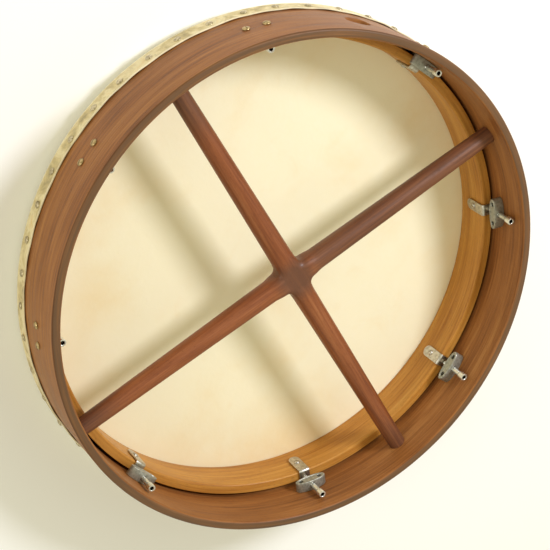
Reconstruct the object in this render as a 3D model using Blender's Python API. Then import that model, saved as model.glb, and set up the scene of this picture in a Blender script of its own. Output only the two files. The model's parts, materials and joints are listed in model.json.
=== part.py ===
"""A tunable bodhran lying on its head: +Z runs from the skin to the open back, and the
origin is the centre of the skin's playing face. All sizes are in metres."""

import math

import bmesh
import bpy
from mathutils import Matrix, Vector

# Driving dimensions of the drum
HOOP_RADIUS = 0.2286        # an 18 inch frame
DRUM_DEPTH = 0.0860
HOOP_WALL = 0.0080
SKIN_THICKNESS = 0.0011
GAP = 0.0003                # between pieces that touch
SEGMENTS = 60               # facets round every turned piece

# Hoop frame
HOOP_INNER = HOOP_RADIUS - HOOP_WALL
HOOP_HEAD_Z = 0.0036        # the hoop's head edge stands this far above the playing face
HOOP_HEAD_ROUND = 0.0056    # rounding that the skin is drawn over
HOOP_EDGE = 0.0024          # rounding of the back edge
VENT_RADIUS = 0.0110
VENT_ANGLE = 46.0
VENT_Z = 0.0520
VENT_SIDES = 24

# Goat skin
SKIN_LAP_Z = 0.0238         # where the skin is trimmed on the outside of the hoop

# Tuning ring
RING_INNER = 0.2090
RING_OUTER = 0.2180
RING_HEAD_Z = SKIN_THICKNESS + GAP
RING_BACK_Z = 0.0376
RING_CORNER = 0.0020        # rounding of its inner back corner
RING_HEAD_ROUND = 0.0040    # how far in its outer head corner starts to fall away

# Crossbars
BAR_Z = 0.0570
BAR_OVER_ANGLE = 92.1       # the bars were fitted by hand, a little off square
BAR_UNDER_ANGLE = -1.1
CROSSING = Vector((0.0028, 0.0020))
BAR_MIDDLE = 0.0204         # width of the squared middle
BAR_SHOULDER = 0.0200       # diameter where the squared middle has turned round
BAR_END = 0.0158
SQUARE_HALF = 0.0125        # half the length of the squared middle
SHOULDER_AT = 0.0260
BAR_STATIONS = (SQUARE_HALF, 0.0190, SHOULDER_AT, 0.0800, 0.1500)
BAR_SIDES = 16
SQUARENESS = 3.0            # superellipse power of the middle; the round part's is 2

# The tuners are laid out by eye, so their spacing isn't quite even
TUNER_ANGLES = (24.6, 69.5, 113.5, 154.0, 201.2, 249.1, 295.6, 337.4)
BOLT_RADIUS = 0.2155        # from the drum's axis to a bolt's axis

# Lug, the threaded casting inside the hoop
LUG_LENGTH = 0.0296
LUG_HEIGHT = 0.0098
LUG_FRONT = 0.2104          # distance from the drum's axis to the lug's face
LUG_BACK = 0.2194
LUG_Z = 0.0500
LUG_ROUNDING = 0.0008
LUG_FULLNESS = 2.3          # superellipse power of its outline
LUG_SIDES = 20
SCREW_SPACING = 0.0186
LUG_HOLE_RADIUS = 0.0020

# Tuning bolt
BOLT_SHANK = 0.0024
BOLT_BORE = 0.00252         # running clearance round the shank
BOLT_HEAD = 0.0033
BOLT_HEAD_LENGTH = 0.0080
BOLT_FLARE = 0.0014         # length over which the shank widens to the head
BOLT_TIP_Z = 0.0397
BOLT_TIP_CHAMFER = 0.0006
BOLT_TOP_Z = 0.0735
SOCKET_RADIUS = 0.0020
SOCKET_DEPTH = 0.0060
BOLT_SIDES = 12

# L bracket on the tuning ring
BRACKET_WIDTH = 0.0105
BRACKET_SHEET = 0.0015
BRACKET_LEG_Z = 0.0140      # low end of the leg
BRACKET_LEG_OUT = 0.2084    # the leg's outer face, just clear of the ring
BRACKET_FOOT_END = 0.2188
BRACKET_HOLE_RADIUS = 0.0020
BRACKET_SCREW_Z = 0.0238
LEG_END_STEPS = 8           # facets of the leg's round end

# Screws
SCREW_SHANK = 0.0016
LUG_SCREW_HEAD = 0.0036
LUG_SCREW_CROWN = 0.0018
LUG_SCREW_TIP = 0.2130      # the shank ends inside the lug's hole
BRACKET_SCREW_HEAD = 0.0030
BRACKET_SCREW_CROWN = 0.0014
BRACKET_SCREW_TIP = 0.2145
SCREW_SIDES = 8
SCREW_POINT = 0.0010        # length of a screw's tapered tip
SCREW_PLAY = 0.0002         # between a screw's shank and a hole in wood

CUT_PAST = 0.0040           # how far a cutter runs past the surface it breaks


def clear_scene():
    for obj in list(bpy.data.objects):
        bpy.data.objects.remove(obj, do_unlink=True)


def material(name, colour, roughness, metallic=0.0):
    made = bpy.data.materials.new(name)
    made.use_nodes = True
    shader = made.node_tree.nodes["Principled BSDF"]
    shader.inputs["Base Color"].default_value = (*colour, 1.0)
    shader.inputs["Roughness"].default_value = roughness
    shader.inputs["Metallic"].default_value = metallic
    return made


def add_object(name, mesh, finish=None, parent=None):
    obj = bpy.data.objects.new(name, mesh)
    bpy.context.scene.collection.objects.link(obj)
    if finish and not mesh.materials:
        mesh.materials.append(finish)
    if parent:
        obj.parent = parent
    return obj


def mesh_from(name, verts, faces):
    """A mesh shaded smooth, with its edges sharp where they turn by over 35 degrees."""
    mesh = bpy.data.meshes.new(name)
    mesh.from_pydata(verts, [], faces)
    build = bmesh.new()
    build.from_mesh(mesh)
    bmesh.ops.recalc_face_normals(build, faces=build.faces)
    build.to_mesh(mesh)
    build.free()
    mesh.shade_smooth()
    mesh.set_sharp_from_angle(angle=math.radians(35))
    return mesh


def turned(name, profile, segments):
    """Turns a closed (radius, z) outline about Z. A point with radius 0 stays one vertex."""
    verts, rings = [], []
    for radius, z in profile:
        if radius == 0:
            rings.append([len(verts)] * segments)
            verts.append((0, 0, z))
            continue
        rings.append(list(range(len(verts), len(verts) + segments)))
        for i in range(segments):
            turn = 2 * math.pi * i / segments
            verts.append((radius * math.cos(turn), radius * math.sin(turn), z))
    faces = []
    for ring, after in zip(rings, rings[1:] + rings[:1]):
        for i in range(segments):
            j = (i + 1) % segments
            corners = list(dict.fromkeys((ring[i], ring[j], after[j], after[i])))
            if len(corners) > 2:
                faces.append(corners)
    return mesh_from(name, verts, faces)


def lofted(name, sections):
    """Joins equal closed sections, lists of points, and caps both ends."""
    count = len(sections[0])
    verts = [point for section in sections for point in section]
    faces = [list(range(count)), list(range(len(verts) - count, len(verts)))]
    for row in range(len(sections) - 1):
        for i in range(count):
            j = (i + 1) % count
            low, high = row * count, (row + 1) * count
            faces.append((low + i, low + j, high + j, high + i))
    return mesh_from(name, verts, faces)


def rod_mesh(name, stations, sides, axis="Z"):
    """A turned rod through (radius, distance) stations along Z or X, with flat ends."""
    sections = []
    for radius, along in stations:
        section = []
        for i in range(sides):
            turn = 2 * math.pi * (i + 0.5) / sides
            a, b = radius * math.cos(turn), radius * math.sin(turn)
            section.append((a, b, along) if axis == "Z" else (along, a, b))
        sections.append(section)
    return lofted(name, sections)


def cut(obj, cutter):
    cutter.hide_render = True
    cutter.display_type = "WIRE"
    modifier = obj.modifiers.new("cut_" + cutter.name, "BOOLEAN")
    modifier.operation = "DIFFERENCE"
    modifier.solver = "EXACT"
    modifier.object = cutter


def finished_mesh(name, blank, cutters):
    """The blank's mesh with its cuts made. The blank and its cutters are removed."""
    for cutter in cutters:
        cut(blank, cutter)
    bpy.context.view_layer.update()
    graph = bpy.context.evaluated_depsgraph_get()
    mesh = bpy.data.meshes.new_from_object(blank.evaluated_get(graph))
    mesh.name = name
    for helper in (blank, *cutters):
        bpy.data.objects.remove(helper, do_unlink=True)
    return mesh


def joined_rods(name, rods):
    """One cutter from several rods: (matrix, stations, sides) each, turned about X."""
    build = bmesh.new()
    for matrix, stations, sides in rods:
        part = rod_mesh(name + "_rod", stations, sides, axis="X")
        part.transform(matrix)
        build.from_mesh(part)
    mesh = bpy.data.meshes.new(name)
    build.to_mesh(mesh)
    build.free()
    return add_object(name, mesh)


def arc(centre, radius, start, end, steps):
    """(radius, z) points on an arc of an outline, angles in degrees."""
    points = []
    for i in range(steps + 1):
        turn = math.radians(start + (end - start) * i / steps)
        points.append((centre[0] + radius * math.cos(turn), centre[1] + radius * math.sin(turn)))
    return points


def screw_places():
    """(tuner number, letter, sideways offset) of the two screws behind each lug."""
    for number in range(1, len(TUNER_ANGLES) + 1):
        yield number, "a", -SCREW_SPACING / 2
        yield number, "b", SCREW_SPACING / 2


def tuner_matrix(angle, sideways=0.0, z=0.0):
    """From a tuner's own axes, X outward and Y along the hoop, to the drum's."""
    turn = Matrix.Rotation(math.radians(angle), 4, "Z")
    return turn @ Matrix.Translation((0, sideways, z))


def make_hoop(finish):
    edge_z = DRUM_DEPTH - HOOP_EDGE
    head_centre = (HOOP_RADIUS - HOOP_HEAD_ROUND, HOOP_HEAD_Z + HOOP_HEAD_ROUND)
    outline = [(HOOP_INNER, HOOP_HEAD_Z)]
    outline += arc(head_centre, HOOP_HEAD_ROUND, -90, 0, 4)
    outline += arc((HOOP_RADIUS - HOOP_EDGE, edge_z), HOOP_EDGE, 0, 90, 3)
    outline += arc((HOOP_INNER + HOOP_EDGE, edge_z), HOOP_EDGE, 90, 180, 3)
    hoop = add_object("hoop_frame", turned("hoop_frame", outline, SEGMENTS), finish)
    start, end = HOOP_INNER - CUT_PAST, HOOP_RADIUS + CUT_PAST
    through = ((LUG_HOLE_RADIUS, start), (LUG_HOLE_RADIUS, end))
    rods = [
        (tuner_matrix(TUNER_ANGLES[number - 1], sideways, LUG_Z), through, SCREW_SIDES)
        for number, _, sideways in screw_places()
    ]
    vent = ((VENT_RADIUS, start), (VENT_RADIUS, end))
    rods.append((tuner_matrix(VENT_ANGLE, 0, VENT_Z), vent, VENT_SIDES))
    cut(hoop, joined_rods("hoop_holes", rods))


def make_ring(finish):
    ease = RING_CORNER * 0.4
    outline = [
        (RING_INNER + GAP, RING_HEAD_Z),
        (RING_OUTER - RING_HEAD_ROUND, RING_HEAD_Z),
        (RING_OUTER - RING_HEAD_ROUND * 0.38, RING_HEAD_Z + RING_HEAD_ROUND * 0.15),
        (RING_OUTER, RING_HEAD_Z + RING_HEAD_ROUND * 0.55),
        (RING_OUTER, RING_BACK_Z - ease),
        (RING_OUTER - ease, RING_BACK_Z),
    ]
    outline += arc((RING_INNER + RING_CORNER, RING_BACK_Z - RING_CORNER), RING_CORNER, 90, 180, 3)
    outline += [(RING_INNER, RING_HEAD_Z + GAP)]
    ring = add_object("tuning_ring", turned("tuning_ring", outline, SEGMENTS), finish)
    hole = SCREW_SHANK + SCREW_PLAY
    blind = ((hole, RING_INNER - CUT_PAST), (hole, BRACKET_SCREW_TIP + GAP))
    rods = [(tuner_matrix(angle, 0, BRACKET_SCREW_Z), blind, SCREW_SIDES) for angle in TUNER_ANGLES]
    cut(ring, joined_rods("ring_holes", rods))


def make_skin(finish):
    lap_inner = HOOP_RADIUS + GAP
    lap_outer = lap_inner + SKIN_THICKNESS
    outside = [
        (0, 0),
        (0.2140, 0),
        (0.2185, 0.0004),
        (0.2245, 0.0019),
        (0.2278, 0.0037),
        (0.2294, 0.0060),
        (lap_outer, 0.0088),
        (lap_outer, SKIN_LAP_Z),
    ]
    inside = [
        (lap_inner, SKIN_LAP_Z),
        (lap_inner, 0.0090),
        (0.2283, 0.0066),
        (0.2270, 0.0047),
        (0.2240, 0.0030),
        (0.2183, 0.00145),
        (0.2140, SKIN_THICKNESS),
        (0, SKIN_THICKNESS),
    ]
    add_object("goat_skin", turned("goat_skin", outside + inside, SEGMENTS), finish)


def bar_half_width(distance):
    """Half the bar's thickness at a distance from the crossing."""
    far = abs(distance)
    if far <= SQUARE_HALF:
        return BAR_MIDDLE / 2
    if far <= SHOULDER_AT:
        share = (far - SQUARE_HALF) / (SHOULDER_AT - SQUARE_HALF)
        return (BAR_MIDDLE + (BAR_SHOULDER - BAR_MIDDLE) * share) / 2
    share = (far - SHOULDER_AT) / (HOOP_INNER - SHOULDER_AT)
    return (BAR_SHOULDER + (BAR_END - BAR_SHOULDER) * share) / 2


def bar_section(distance):
    """A rounded square near the crossing that turns into a circle at the shoulder."""
    half = bar_half_width(distance)
    far = abs(distance)
    share = min(max((far - SQUARE_HALF) / (SHOULDER_AT - SQUARE_HALF), 0), 1)
    power = 2 / (SQUARENESS + (2 - SQUARENESS) * share)
    points = []
    for i in range(BAR_SIDES):
        turn = 2 * math.pi * (i + 0.5) / BAR_SIDES
        c, s = math.cos(turn), math.sin(turn)
        y = half * math.copysign(abs(c) ** power, c)
        z = half * math.copysign(abs(s) ** power, s)
        points.append((distance, y, z))
    return points


def bar_reach(direction):
    """How far a bar runs from the crossing before its end would touch the hoop."""
    wall = HOOP_INNER * math.cos(math.pi / SEGMENTS) - GAP
    along = CROSSING.dot(direction)
    sideways = abs(CROSSING.cross(direction)) + BAR_END / 2
    return math.sqrt(wall**2 - sideways**2) - along


def make_crossbar(name, angle, other_angle, keeps_top, finish):
    direction = Vector((math.cos(math.radians(angle)), math.sin(math.radians(angle))))
    ahead, behind = bar_reach(direction), bar_reach(-direction)
    stations = [-behind, *(-station for station in reversed(BAR_STATIONS)), *BAR_STATIONS, ahead]
    mesh = lofted(name, [bar_section(distance) for distance in stations])
    bar = add_object(name, mesh, finish)
    bar.location = (CROSSING.x, CROSSING.y, BAR_Z)
    bar.rotation_euler.z = math.radians(angle)

    half_width = BAR_MIDDLE / 2 + GAP
    low = -BAR_MIDDLE if keeps_top else -GAP / 2
    high = GAP / 2 if keeps_top else BAR_MIDDLE
    reach = BAR_MIDDLE + CUT_PAST
    corners = [
        (x, y, z) for x in (-reach, reach) for y in (-half_width, half_width) for z in (low, high)
    ]
    sides = [(0, 1, 3, 2), (4, 6, 7, 5), (0, 4, 5, 1), (2, 3, 7, 6), (0, 2, 6, 4), (1, 5, 7, 3)]
    notch = add_object(name + "_notch", mesh_from(name + "_notch", corners, sides))
    notch.location = bar.location
    notch.rotation_euler.z = math.radians(other_angle)
    cut(bar, notch)


def lug_outline(x):
    """The lug's oval face at a distance outward from the bolt's axis."""
    power = 2 / LUG_FULLNESS
    points = []
    for i in range(LUG_SIDES):
        turn = 2 * math.pi * (i + 0.5) / LUG_SIDES
        c, s = math.cos(turn), math.sin(turn)
        y = LUG_LENGTH / 2 * math.copysign(abs(c) ** power, c)
        z = LUG_HEIGHT / 2 * math.copysign(abs(s) ** power, s)
        points.append((x, y, z))
    return points


def lug_mesh():
    """A lug about the point on its bolt's axis at the height LUG_Z, with its three holes."""
    front, back = LUG_FRONT - BOLT_RADIUS, LUG_BACK - BOLT_RADIUS
    sections = [lug_outline(front), lug_outline(front + LUG_ROUNDING), lug_outline(back)]
    inset = 1 - 2 * LUG_ROUNDING / LUG_HEIGHT
    sections[0] = [(x, y * inset, z * inset) for x, y, z in sections[0]]
    lug = add_object("lug_blank", lofted("lug_blank", sections))
    reach = LUG_HEIGHT / 2 + CUT_PAST
    bore = rod_mesh("lug_bore", ((BOLT_BORE, -reach), (BOLT_BORE, reach)), BOLT_SIDES)
    through = ((LUG_HOLE_RADIUS, front - CUT_PAST), (LUG_HOLE_RADIUS, back + CUT_PAST))
    places = (-SCREW_SPACING / 2, SCREW_SPACING / 2)
    rods = [(Matrix.Translation((0, y, 0)), through, SCREW_SIDES) for y in places]
    cutters = [add_object("lug_bore", bore), joined_rods("lug_holes", rods)]
    return finished_mesh("lug", lug, cutters)


def bolt_mesh():
    """A tuning bolt on its own axis: plain shank, flared head and a blind key socket."""
    shank_end = BOLT_TOP_Z - BOLT_HEAD_LENGTH
    stations = [
        (BOLT_SHANK - BOLT_TIP_CHAMFER, BOLT_TIP_Z),
        (BOLT_SHANK, BOLT_TIP_Z + BOLT_TIP_CHAMFER),
        (BOLT_SHANK, shank_end),
        (BOLT_HEAD, shank_end + BOLT_FLARE),
        (BOLT_HEAD, BOLT_TOP_Z),
        (SOCKET_RADIUS, BOLT_TOP_Z),
        (SOCKET_RADIUS, BOLT_TOP_Z - SOCKET_DEPTH),
    ]
    return rod_mesh("tuning_bolt", stations, BOLT_SIDES)


def bracket_mesh():
    """An L of bent strip: a round-ended leg inside the ring and a foot over its back edge."""
    half, sheet = BRACKET_WIDTH / 2, BRACKET_SHEET
    outer = BRACKET_LEG_OUT - BOLT_RADIUS
    foot_end = BRACKET_FOOT_END - BOLT_RADIUS
    foot_low = RING_BACK_Z + GAP
    side = [(half, foot_low)]
    low_centre = BRACKET_LEG_Z + half
    for i in range(LEG_END_STEPS + 1):
        turn = math.pi * i / LEG_END_STEPS
        side.append((half * math.cos(turn), low_centre - half * math.sin(turn)))
    side.append((-half, foot_low))
    back_face = [(outer, y, z) for y, z in side]
    front_face = [(outer - sheet, y, z) for y, z in side]
    front_face[0] = (outer - sheet, half, foot_low + sheet)
    front_face[-1] = (outer - sheet, -half, foot_low + sheet)
    count = len(side)
    verts = front_face + back_face
    verts += [(foot_end, y, z) for y, z in ((half, foot_low), (-half, foot_low))]
    verts += [(foot_end, y, z) for y, z in ((half, foot_low + sheet), (-half, foot_low + sheet))]
    end = 2 * count
    faces = [list(range(count)), list(range(count, 2 * count))]
    for i in range(count - 1):
        faces.append((i, i + 1, count + i + 1, count + i))
    faces += [
        (0, count - 1, end + 3, end + 2),
        (count, 2 * count - 1, end + 1, end),
        (end, end + 1, end + 3, end + 2),
        (0, count, end, end + 2),
        (count - 1, 2 * count - 1, end + 1, end + 3),
    ]
    strip = add_object("bracket_blank", mesh_from("bracket_blank", verts, faces))
    start, end = outer - sheet - CUT_PAST, outer + CUT_PAST
    hole = ((BRACKET_HOLE_RADIUS, start), (BRACKET_HOLE_RADIUS, end))
    place = Matrix.Translation((0, 0, BRACKET_SCREW_Z))
    drill = joined_rods("bracket_hole", [(place, hole, SCREW_SIDES)])
    return finished_mesh("ring_bracket", strip, [drill])


def screw_mesh(name, head, crown, tip, seat):
    """A dome-headed screw along X, from its tip to its seat; the head stands beyond the seat."""
    way = 1 if seat > tip else -1
    stations = [
        (SCREW_SHANK * 0.6, tip),
        (SCREW_SHANK, tip + way * SCREW_POINT),
        (SCREW_SHANK, seat),
        (head, seat),
        (head * 0.92, seat + way * crown * 0.5),
        (head * 0.5, seat + way * crown),
    ]
    return rod_mesh(name, stations, SCREW_SIDES, axis="X")


def make_tuners(metal, bright, brass):
    lug, bolt, bracket = lug_mesh(), bolt_mesh(), bracket_mesh()
    lug_screw = screw_mesh(
        "lug_screw",
        LUG_SCREW_HEAD,
        LUG_SCREW_CROWN,
        LUG_SCREW_TIP - BOLT_RADIUS,
        HOOP_RADIUS + GAP - BOLT_RADIUS,
    )
    bracket_screw = screw_mesh(
        "bracket_screw",
        BRACKET_SCREW_HEAD,
        BRACKET_SCREW_CROWN,
        BRACKET_SCREW_TIP - BOLT_RADIUS,
        BRACKET_LEG_OUT - BRACKET_SHEET - GAP - BOLT_RADIUS,
    )
    seats = []
    for number, angle in enumerate(TUNER_ANGLES, start=1):
        seat = add_object(f"tuner_{number}", None)
        turn = math.radians(angle)
        seat.location = (BOLT_RADIUS * math.cos(turn), BOLT_RADIUS * math.sin(turn), 0)
        seat.rotation_euler.z = turn
        seats.append(seat)
        add_object(f"lug_{number}", lug, metal, seat).location.z = LUG_Z
        add_object(f"tuning_bolt_{number}", bolt, bright, seat)
        add_object(f"ring_bracket_{number}", bracket, bright, seat)
        screw = add_object(f"bracket_screw_{number}", bracket_screw, bright, seat)
        screw.location.z = BRACKET_SCREW_Z
    for number, letter, sideways in screw_places():
        screw = add_object(f"lug_screw_{number}{letter}", lug_screw, brass, seats[number - 1])
        screw.location = (0, sideways, LUG_Z)


def main():
    clear_scene()
    frame_wood = material("frame_wood", (0.30, 0.12, 0.05), 0.45)
    ring_wood = material("ring_wood", (0.55, 0.29, 0.08), 0.50)
    bar_wood = material("bar_wood", (0.22, 0.07, 0.035), 0.35)
    skin = material("goat_skin", (0.86, 0.75, 0.50), 0.60)
    metal = material("cast_metal", (0.55, 0.54, 0.51), 0.40, 1.0)
    bright = material("bright_metal", (0.80, 0.78, 0.74), 0.22, 1.0)
    brass = material("screw_brass", (0.68, 0.50, 0.24), 0.30, 1.0)

    make_hoop(frame_wood)
    make_ring(ring_wood)
    make_skin(skin)
    make_crossbar("crossbar_over", BAR_OVER_ANGLE, BAR_UNDER_ANGLE, True, bar_wood)
    make_crossbar("crossbar_under", BAR_UNDER_ANGLE, BAR_OVER_ANGLE, False, bar_wood)
    make_tuners(metal, bright, brass)


main()
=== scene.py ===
"""The look of the tunable bodhran: fine meshes, materials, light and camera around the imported
model. The drum lies on its head with its open back up. All sizes are in metres."""

import json
import math
import random

import bmesh
import bpy
import numpy as np
from mathutils import Matrix, Vector


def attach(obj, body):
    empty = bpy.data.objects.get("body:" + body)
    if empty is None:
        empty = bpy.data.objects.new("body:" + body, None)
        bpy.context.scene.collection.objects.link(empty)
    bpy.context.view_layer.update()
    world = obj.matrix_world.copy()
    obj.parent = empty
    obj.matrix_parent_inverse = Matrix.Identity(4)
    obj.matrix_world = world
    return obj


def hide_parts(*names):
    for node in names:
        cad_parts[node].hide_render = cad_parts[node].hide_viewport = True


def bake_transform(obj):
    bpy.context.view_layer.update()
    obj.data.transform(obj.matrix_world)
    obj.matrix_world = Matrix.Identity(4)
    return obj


# The drum, as in the CAD model
HOOP_RADIUS = 0.2286
DRUM_DEPTH = 0.0860
HOOP_INNER = 0.2206
HOOP_HEAD_Z = 0.0036
HOOP_HEAD_ROUND = 0.0056    # rounding that the skin is drawn over
VENT_RADIUS, VENT_ANGLE, VENT_Z = 0.0110, 46.0, 0.0520
SKIN_THICKNESS = 0.0011
SKIN_LAP_Z = 0.0238
SKIN_LAP_RADIUS = 0.2300
RING_INNER, RING_OUTER = 0.2090, 0.2180
RING_HEAD_Z, RING_BACK_Z = 0.0014, 0.0376

# Crossbars, as in the CAD model
BAR_Z = 0.0570
BAR_OVER_ANGLE, BAR_UNDER_ANGLE = 92.1, -1.1
CROSSING = Vector((0.0028, 0.0020, BAR_Z))
BAR_MIDDLE, BAR_SHOULDER, BAR_END = 0.0204, 0.0200, 0.0158
SQUARE_HALF, SHOULDER_AT = 0.0125, 0.0260
CARVING_VOXEL = 0.0011      # how finely the crossbars are carved
SQUARENESS = 3.0            # superellipse power of the middle; the round part's is 2
CROSSING_FILLET = 0.0058
FLAT_HEIGHT, FLAT_REACH, FLAT_RISE = 0.0094, 0.0095, 0.14   # the shallow flat on its top

# Tuners, as in the CAD model, each about its bolt's axis with X pointing outward
LUG_Z = 0.0500
LUG_LENGTH, LUG_HEIGHT = 0.0296, 0.0098
LUG_FULLNESS = 2.3          # superellipse power of its outline
LUG_FRONT, LUG_BACK = -0.0051, 0.0039
SCREW_SPACING = 0.0186
LUG_HOLE = 0.0020
BOLT_SHANK, BOLT_BORE, BOLT_HEAD = 0.0024, 0.00252, 0.0033
BOLT_TIP_Z, BOLT_TOP_Z, BOLT_HEAD_LENGTH = 0.0397, 0.0735, 0.0080
SOCKET_RADIUS, SOCKET_DEPTH = 0.0020, 0.0060
THREAD_PITCH, THREAD_DEPTH = 0.0010, 0.00042
THREAD_ROWS = 12            # rings of vertices to one turn of thread
THREAD_FLANK = 2.4          # steepness of the thread's sides
THREAD_FADE = 0.0006        # length over which the thread starts and ends
BRACKET_WIDTH, BRACKET_SHEET = 0.0105, 0.0015
BRACKET_BEND = 0.0010       # inside radius of its bend
BRACKET_LEG_Z, BRACKET_LEG_OUT = 0.0140, -0.0071
BRACKET_FOOT_LOW, BRACKET_FOOT_END = 0.0379, 0.0033
BRACKET_SCREW_Z = 0.0238
BOLT_RADIUS = 0.2155        # from the drum's axis to a bolt's axis
HOOP_OUT = HOOP_RADIUS - BOLT_RADIUS

# Golden stains on the head: (x, y, reach, depth)
SKIN_STAINS = ((-0.142, 0.065, 0.045, 0.45), (-0.060, -0.185, 0.075, 0.50))

# Tacks round the skin's lap
TACK_COUNT = 48
TACK_FIRST_ANGLE = 1.0
TACK_Z = 0.0168
TACK_RADIUS, TACK_HEIGHT = 0.0032, 0.0016

SEGMENTS = 480              # round the drum
FLOOR_Z = -0.0032           # under the skin's lowest place when the ring is screwed home


# ---------------------------------------------------------------- Camera, light and floor


def make_camera():
    place = Vector((-0.2783, 0.8709, 1.3099))
    aim = Vector((-0.0077, 0.0047, 0.0450))
    roll = math.radians(129.13)
    data = bpy.data.cameras.new("camera")
    data.lens, data.sensor_width = 117.8, 36.0
    camera = bpy.data.objects.new("camera", data)
    bpy.context.scene.collection.objects.link(camera)
    camera.rotation_mode = "QUATERNION"
    look = (aim - place).to_track_quat("-Z", "Y").to_matrix()
    camera.rotation_quaternion = (look @ Matrix.Rotation(roll, 3, "Z")).to_quaternion()
    camera.location = place
    bpy.context.scene.camera = camera


def area_light(name, direction, distance, size, power, colour):
    data = bpy.data.lights.new(name, "AREA")
    data.shape = "DISK"
    data.size, data.energy, data.color = size, power, colour
    light = bpy.data.objects.new(name, data)
    bpy.context.scene.collection.objects.link(light)
    away = Vector(direction).normalized()
    light.location = away * distance
    light.rotation_mode = "QUATERNION"
    light.rotation_quaternion = (-away).to_track_quat("-Z", "Y")


def make_lights():
    area_light("key", (0.636, 0.218, 0.740), distance=1.6, size=0.41, power=17.2, colour=(0.985, 0.99, 1.09))
    area_light("front", (-0.75, 0.55, 0.45), distance=2.6, size=1.4, power=12.0, colour=(1.0, 0.98, 0.96))
    world = bpy.data.worlds.new("studio")
    bpy.context.scene.world = world
    world.use_nodes = True
    background = world.node_tree.nodes["Background"]
    background.inputs["Color"].default_value = (1.0, 0.955, 0.70, 1.0)
    background.inputs["Strength"].default_value = 0.70


def make_floor():
    half, z = 6.0, FLOOR_Z
    mesh = bpy.data.meshes.new("floor")
    corners = [(-half, -half, z), (half, -half, z), (half, half, z), (-half, half, z)]
    mesh.from_pydata(corners, [], [(0, 1, 2, 3)])
    paint = Nodes("floor_paint")
    paint.put(Roughness=0.9)
    paint.shader.inputs["Base Color"].default_value = (0.93, 0.93, 0.92, 1.0)
    mesh.materials.append(paint.material)
    floor = bpy.data.objects.new("floor", mesh)
    bpy.context.scene.collection.objects.link(floor)


# ---------------------------------------------------------------- Materials


class Nodes:
    """A material's nodes. A value that is a socket is linked, and any other is set."""

    def __init__(self, name):
        self.material = bpy.data.materials.new(name)
        self.material.use_nodes = True
        self.tree = self.material.node_tree
        self.shader = self.tree.nodes["Principled BSDF"]
        grain = self.add("ShaderNodeAttribute", attribute_name="grain")
        self.place = grain.outputs["Vector"]
        apart = self.add("ShaderNodeSeparateXYZ")
        self.feed(apart.inputs[0], self.place)
        self.x, self.y, self.z = apart.outputs

    def add(self, kind, **settings):
        node = self.tree.nodes.new(kind)
        for key, value in settings.items():
            setattr(node, key, value)
        return node

    def feed(self, socket, value):
        if isinstance(value, bpy.types.NodeSocket):
            self.tree.links.new(value, socket)
        elif isinstance(value, tuple) and len(value) == 3 and socket.type == "RGBA":
            socket.default_value = (*value, 1.0)
        else:
            socket.default_value = value

    def put(self, **inputs):
        for name, value in inputs.items():
            self.feed(self.shader.inputs[name.replace("_", " ")], value)

    def maths(self, operation, a, b=0.0, c=0.0):
        node = self.add("ShaderNodeMath", operation=operation)
        for socket, value in zip(node.inputs, (a, b, c)):
            self.feed(socket, value)
        return node.outputs[0]

    def vector(self, x, y, z):
        node = self.add("ShaderNodeCombineXYZ")
        for socket, value in zip(node.inputs, (x, y, z)):
            self.feed(socket, value)
        return node.outputs[0]

    def noise(self, vector, scale, detail=2.0, roughness=0.5, w=0.0, distortion=0.0):
        node = self.add("ShaderNodeTexNoise", noise_dimensions="4D")
        inputs = {"Vector": vector, "W": w, "Scale": scale, "Detail": detail}
        inputs |= {"Roughness": roughness, "Distortion": distortion}
        for key, value in inputs.items():
            self.feed(node.inputs[key], value)
        return node.outputs[0]

    def level(self, value, low, high, to_low=0.0, to_high=1.0):
        node = self.add("ShaderNodeMapRange", interpolation_type="SMOOTHSTEP")
        for socket, given in zip(node.inputs, (value, low, high, to_low, to_high)):
            self.feed(socket, given)
        return node.outputs[0]

    def ramp(self, value, *stops):
        node = self.add("ShaderNodeValToRGB")
        elements = node.color_ramp.elements
        while len(elements) < len(stops):
            elements.new(0.5)
        for element, (position, colour) in zip(elements, stops):
            element.position = position
            element.color = (*colour, 1.0)
        self.feed(node.inputs[0], value)
        return node.outputs[0]

    def mix(self, share, a, b):
        node = self.add("ShaderNodeMix", data_type="RGBA")
        for socket, value in zip((node.inputs[0], node.inputs[6], node.inputs[7]), (share, a, b)):
            self.feed(socket, value)
        return node.outputs[2]

    def bump(self, height, distance):
        node = self.add("ShaderNodeBump")
        self.feed(node.inputs["Strength"], 1.0)
        self.feed(node.inputs["Distance"], distance)
        self.feed(node.inputs["Height"], height)
        return node.outputs[0]

    def grain_noise(self, bent, length, width, detail=2.0, roughness=0.5, seed=0.0):
        """Noise drawn out along the grain: round the drum where the wood is bent, else along X."""
        x = self.maths("DIVIDE", self.x, length)
        y = self.maths("DIVIDE", self.y, length if bent else width)
        z = self.maths("DIVIDE", self.z, width)
        w = seed
        if bent:
            square = self.maths("ADD", self.maths("POWER", self.x, 2.0), self.maths("POWER", self.y, 2.0))
            w = self.maths("MULTIPLY_ADD", self.maths("SQRT", square), 1 / width, seed)
        return self.noise(self.vector(x, y, z), 1.0, detail, roughness, w)


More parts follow.
